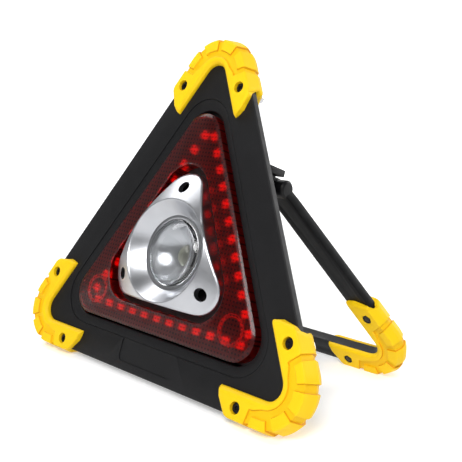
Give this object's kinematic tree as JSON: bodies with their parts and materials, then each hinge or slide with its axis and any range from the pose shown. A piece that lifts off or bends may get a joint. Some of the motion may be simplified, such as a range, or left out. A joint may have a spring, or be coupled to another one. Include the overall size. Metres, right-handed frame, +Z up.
{
  "type": "triangular warning work light",
  "caption": "Free-standing triangular hazard light: red LEDs under a ribbed red lens around a white spotlight, with rubber corner guards and a folding rear stand.",
  "frame": {"origin": "on the floor, at the bottom centre of the light's bounding box with the stand open as in use", "axes": "+X across the face to the right seen from the front, +Y from the front towards the stand, +Z up from the floor; the face looks along -Y and leans back"},
  "size_m": [0.2352, 0.1352, 0.2009],
  "materials": {
    "casing_black": "fine even grain",
    "guard_yellow": "smooth satin",
    "lens_red": "clear red moulding, prism grid on the inside",
    "lens_clear": "clear polished",
    "reflector_silver": "satin silver coating",
    "led_red": "bright red",
    "emitter_yellow": "phosphor",
    "board_white": "white solder mask",
    "board_black": "black solder mask",
    "board_green": "green solder mask",
    "switch_black": "matte",
    "button_rubber": "matte",
    "screw_black": "black oxide",
    "steel": "zinc plated",
    "aluminium": "plain sheet",
    "cell_sleeve": "printed sleeve left plain"
  },
  "bodies": {
    "housing": {"front_bezel": "casing_black", "rear_shell": "casing_black", "case_screws": "screw_black", "guard_top": "guard_yellow", "guard_left": "guard_yellow", "guard_right": "guard_yellow", "guard_screws": "screw_black", "guard_nuts": "steel", "red_lens": "lens_red", "led_board": "board_black", "red_leds": "led_red", "reflector_plate": "reflector_silver", "reflector_screws": "screw_black", "spot_lens": "lens_clear", "spot_emitter": "emitter_yellow", "spot_board": "board_white", "heat_plate": "aluminium", "control_board": "board_green", "tact_switch": "switch_black", "battery_door": "casing_black", "door_screw": "screw_black", "battery_cells": "cell_sleeve", "contact_springs": "steel", "contact_plates": "steel", "hinge_pins": "steel"},
    "stand": {"stand_frame": "casing_black", "stand_guard_left": "guard_yellow", "stand_guard_right": "guard_yellow", "stand_screws": "screw_black", "stand_nuts": "steel"},
    "button": {"power_button": "button_rubber"}
  },
  "joints": [
    {"name": "stand_hinge", "type": "hinge", "parent": "housing", "child": "stand", "pos_m": [0, 0.0067, 0.11551], "axis": [1, 0, 0], "range_deg": [-44, 136]},
    {"name": "power_press", "type": "slide", "parent": "housing", "child": "button", "axis": [0, -0.9522, 0.3056], "range_m": [0, 0.0012], "stiffness_N_per_m": 1500}
  ]
}
